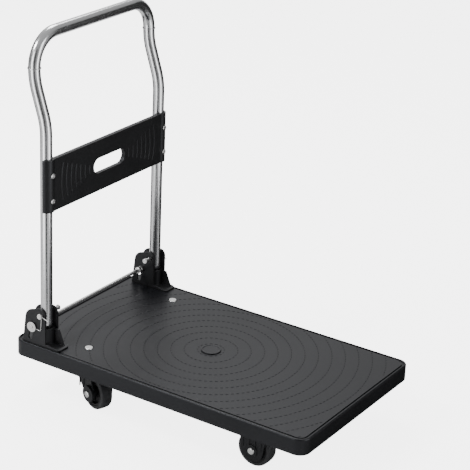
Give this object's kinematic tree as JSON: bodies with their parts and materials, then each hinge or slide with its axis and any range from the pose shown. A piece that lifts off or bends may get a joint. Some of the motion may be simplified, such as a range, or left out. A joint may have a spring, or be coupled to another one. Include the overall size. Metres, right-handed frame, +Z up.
{
  "type": "folding platform cart",
  "caption": "Folding platform cart with a ribbed plastic deck, swivel and fixed casters and a bent steel tube handle that folds flat over the deck.",
  "frame": {"origin": "on the floor under the middle of the deck", "axes": "+X to the front of the cart, +Y to its left as pushed, +Z up"},
  "size_m": [0.72, 0.431, 0.7975],
  "materials": {
    "deck_plastic": "fine moulded grain",
    "bracket_plastic": "satin black, grained",
    "panel_plastic": "satin black",
    "caster_plastic": "satin black",
    "wheel_plastic": "moulded black",
    "bush_plastic": "natural nylon",
    "tyre_rubber": "dark grey rubber",
    "handle_steel": "bright plated tube",
    "spring_steel": "bright spring wire",
    "zinc_steel": "bright zinc plated"
  },
  "bodies": {
    "platform": {"deck": "deck_plastic", "deck_center_cap": "deck_plastic", "hinge_bracket_right": "bracket_plastic", "bracket_bolts_right": "zinc_steel", "pivot_pin_right": "zinc_steel", "pivot_pin_cap_right": "zinc_steel", "lock_spring_right": "spring_steel", "fixed_fork_right": "caster_plastic", "fork_screws_right": "zinc_steel", "axle_front_right": "zinc_steel", "axle_nut_front_right": "zinc_steel", "swivel_race_right": "caster_plastic", "swivel_bearing_right": "bush_plastic", "king_bolt_right": "zinc_steel", "king_nut_right": "zinc_steel", "hinge_bracket_left": "bracket_plastic", "bracket_bolts_left": "zinc_steel", "pivot_pin_left": "zinc_steel", "pivot_pin_cap_left": "zinc_steel", "lock_spring_left": "spring_steel", "fixed_fork_left": "caster_plastic", "fork_screws_left": "zinc_steel", "axle_front_left": "zinc_steel", "axle_nut_front_left": "zinc_steel", "swivel_race_left": "caster_plastic", "swivel_bearing_left": "bush_plastic", "king_bolt_left": "zinc_steel", "king_nut_left": "zinc_steel"},
    "handle": {"handle_tube": "handle_steel", "handle_panel": "panel_plastic", "panel_screws": "zinc_steel"},
    "lock_bar": {"lock_rod": "zinc_steel", "lock_rod_collars": "zinc_steel", "lock_rod_discs": "zinc_steel"},
    "rear_swivel_right": {"swivel_fork_right": "caster_plastic", "axle_rear_right": "zinc_steel", "axle_nut_rear_right": "zinc_steel"},
    "rear_wheel_right": {"wheel_core_rear_right": "wheel_plastic", "tyre_rear_right": "tyre_rubber", "wheel_bush_rear_right": "zinc_steel"},
    "front_wheel_right": {"wheel_core_front_right": "wheel_plastic", "tyre_front_right": "tyre_rubber", "wheel_bush_front_right": "zinc_steel"},
    "rear_swivel_left": {"swivel_fork_left": "caster_plastic", "axle_rear_left": "zinc_steel", "axle_nut_rear_left": "zinc_steel"},
    "rear_wheel_left": {"wheel_core_rear_left": "wheel_plastic", "tyre_rear_left": "tyre_rubber", "wheel_bush_rear_left": "zinc_steel"},
    "front_wheel_left": {"wheel_core_front_left": "wheel_plastic", "tyre_front_left": "tyre_rubber", "wheel_bush_front_left": "zinc_steel"}
  },
  "joints": [
    {"name": "handle_fold", "type": "hinge", "parent": "platform", "child": "handle", "pos_m": [-0.287, 0, 0.196], "axis": [0, 1, 0], "range_deg": [0, 98.3]},
    {"name": "lock_press", "type": "slide", "parent": "platform", "child": "lock_bar", "axis": [-0.2224, 0, -0.975], "range_m": [0, 0.02698], "stiffness_N_per_m": 350, "springref_m": -0.022, "deforming": ["lock_spring_right", "lock_spring_left"]},
    {"name": "rear_swivel_turn_right", "type": "hinge", "parent": "platform", "child": "rear_swivel_right", "pos_m": [-0.207, -0.15, 0.083], "axis": [0, 0, 1], "continuous": true},
    {"name": "rear_wheel_spin_right", "type": "hinge", "parent": "rear_swivel_right", "child": "rear_wheel_right", "pos_m": [-0.17466, -0.16051, 0.038], "axis": [0.309, 0.9511, 0], "continuous": true},
    {"name": "front_wheel_spin_right", "type": "hinge", "parent": "platform", "child": "front_wheel_right", "pos_m": [0.218, -0.15, 0.038], "axis": [0, 1, 0], "continuous": true},
    {"name": "rear_swivel_turn_left", "type": "hinge", "parent": "platform", "child": "rear_swivel_left", "pos_m": [-0.207, 0.15, 0.083], "axis": [0, 0, 1], "continuous": true},
    {"name": "rear_wheel_spin_left", "type": "hinge", "parent": "rear_swivel_left", "child": "rear_wheel_left", "pos_m": [-0.17374, 0.15707, 0.038], "axis": [-0.2079, 0.9781, 0], "continuous": true},
    {"name": "front_wheel_spin_left", "type": "hinge", "parent": "platform", "child": "front_wheel_left", "pos_m": [0.218, 0.15, 0.038], "axis": [0, 1, 0], "continuous": true}
  ]
}
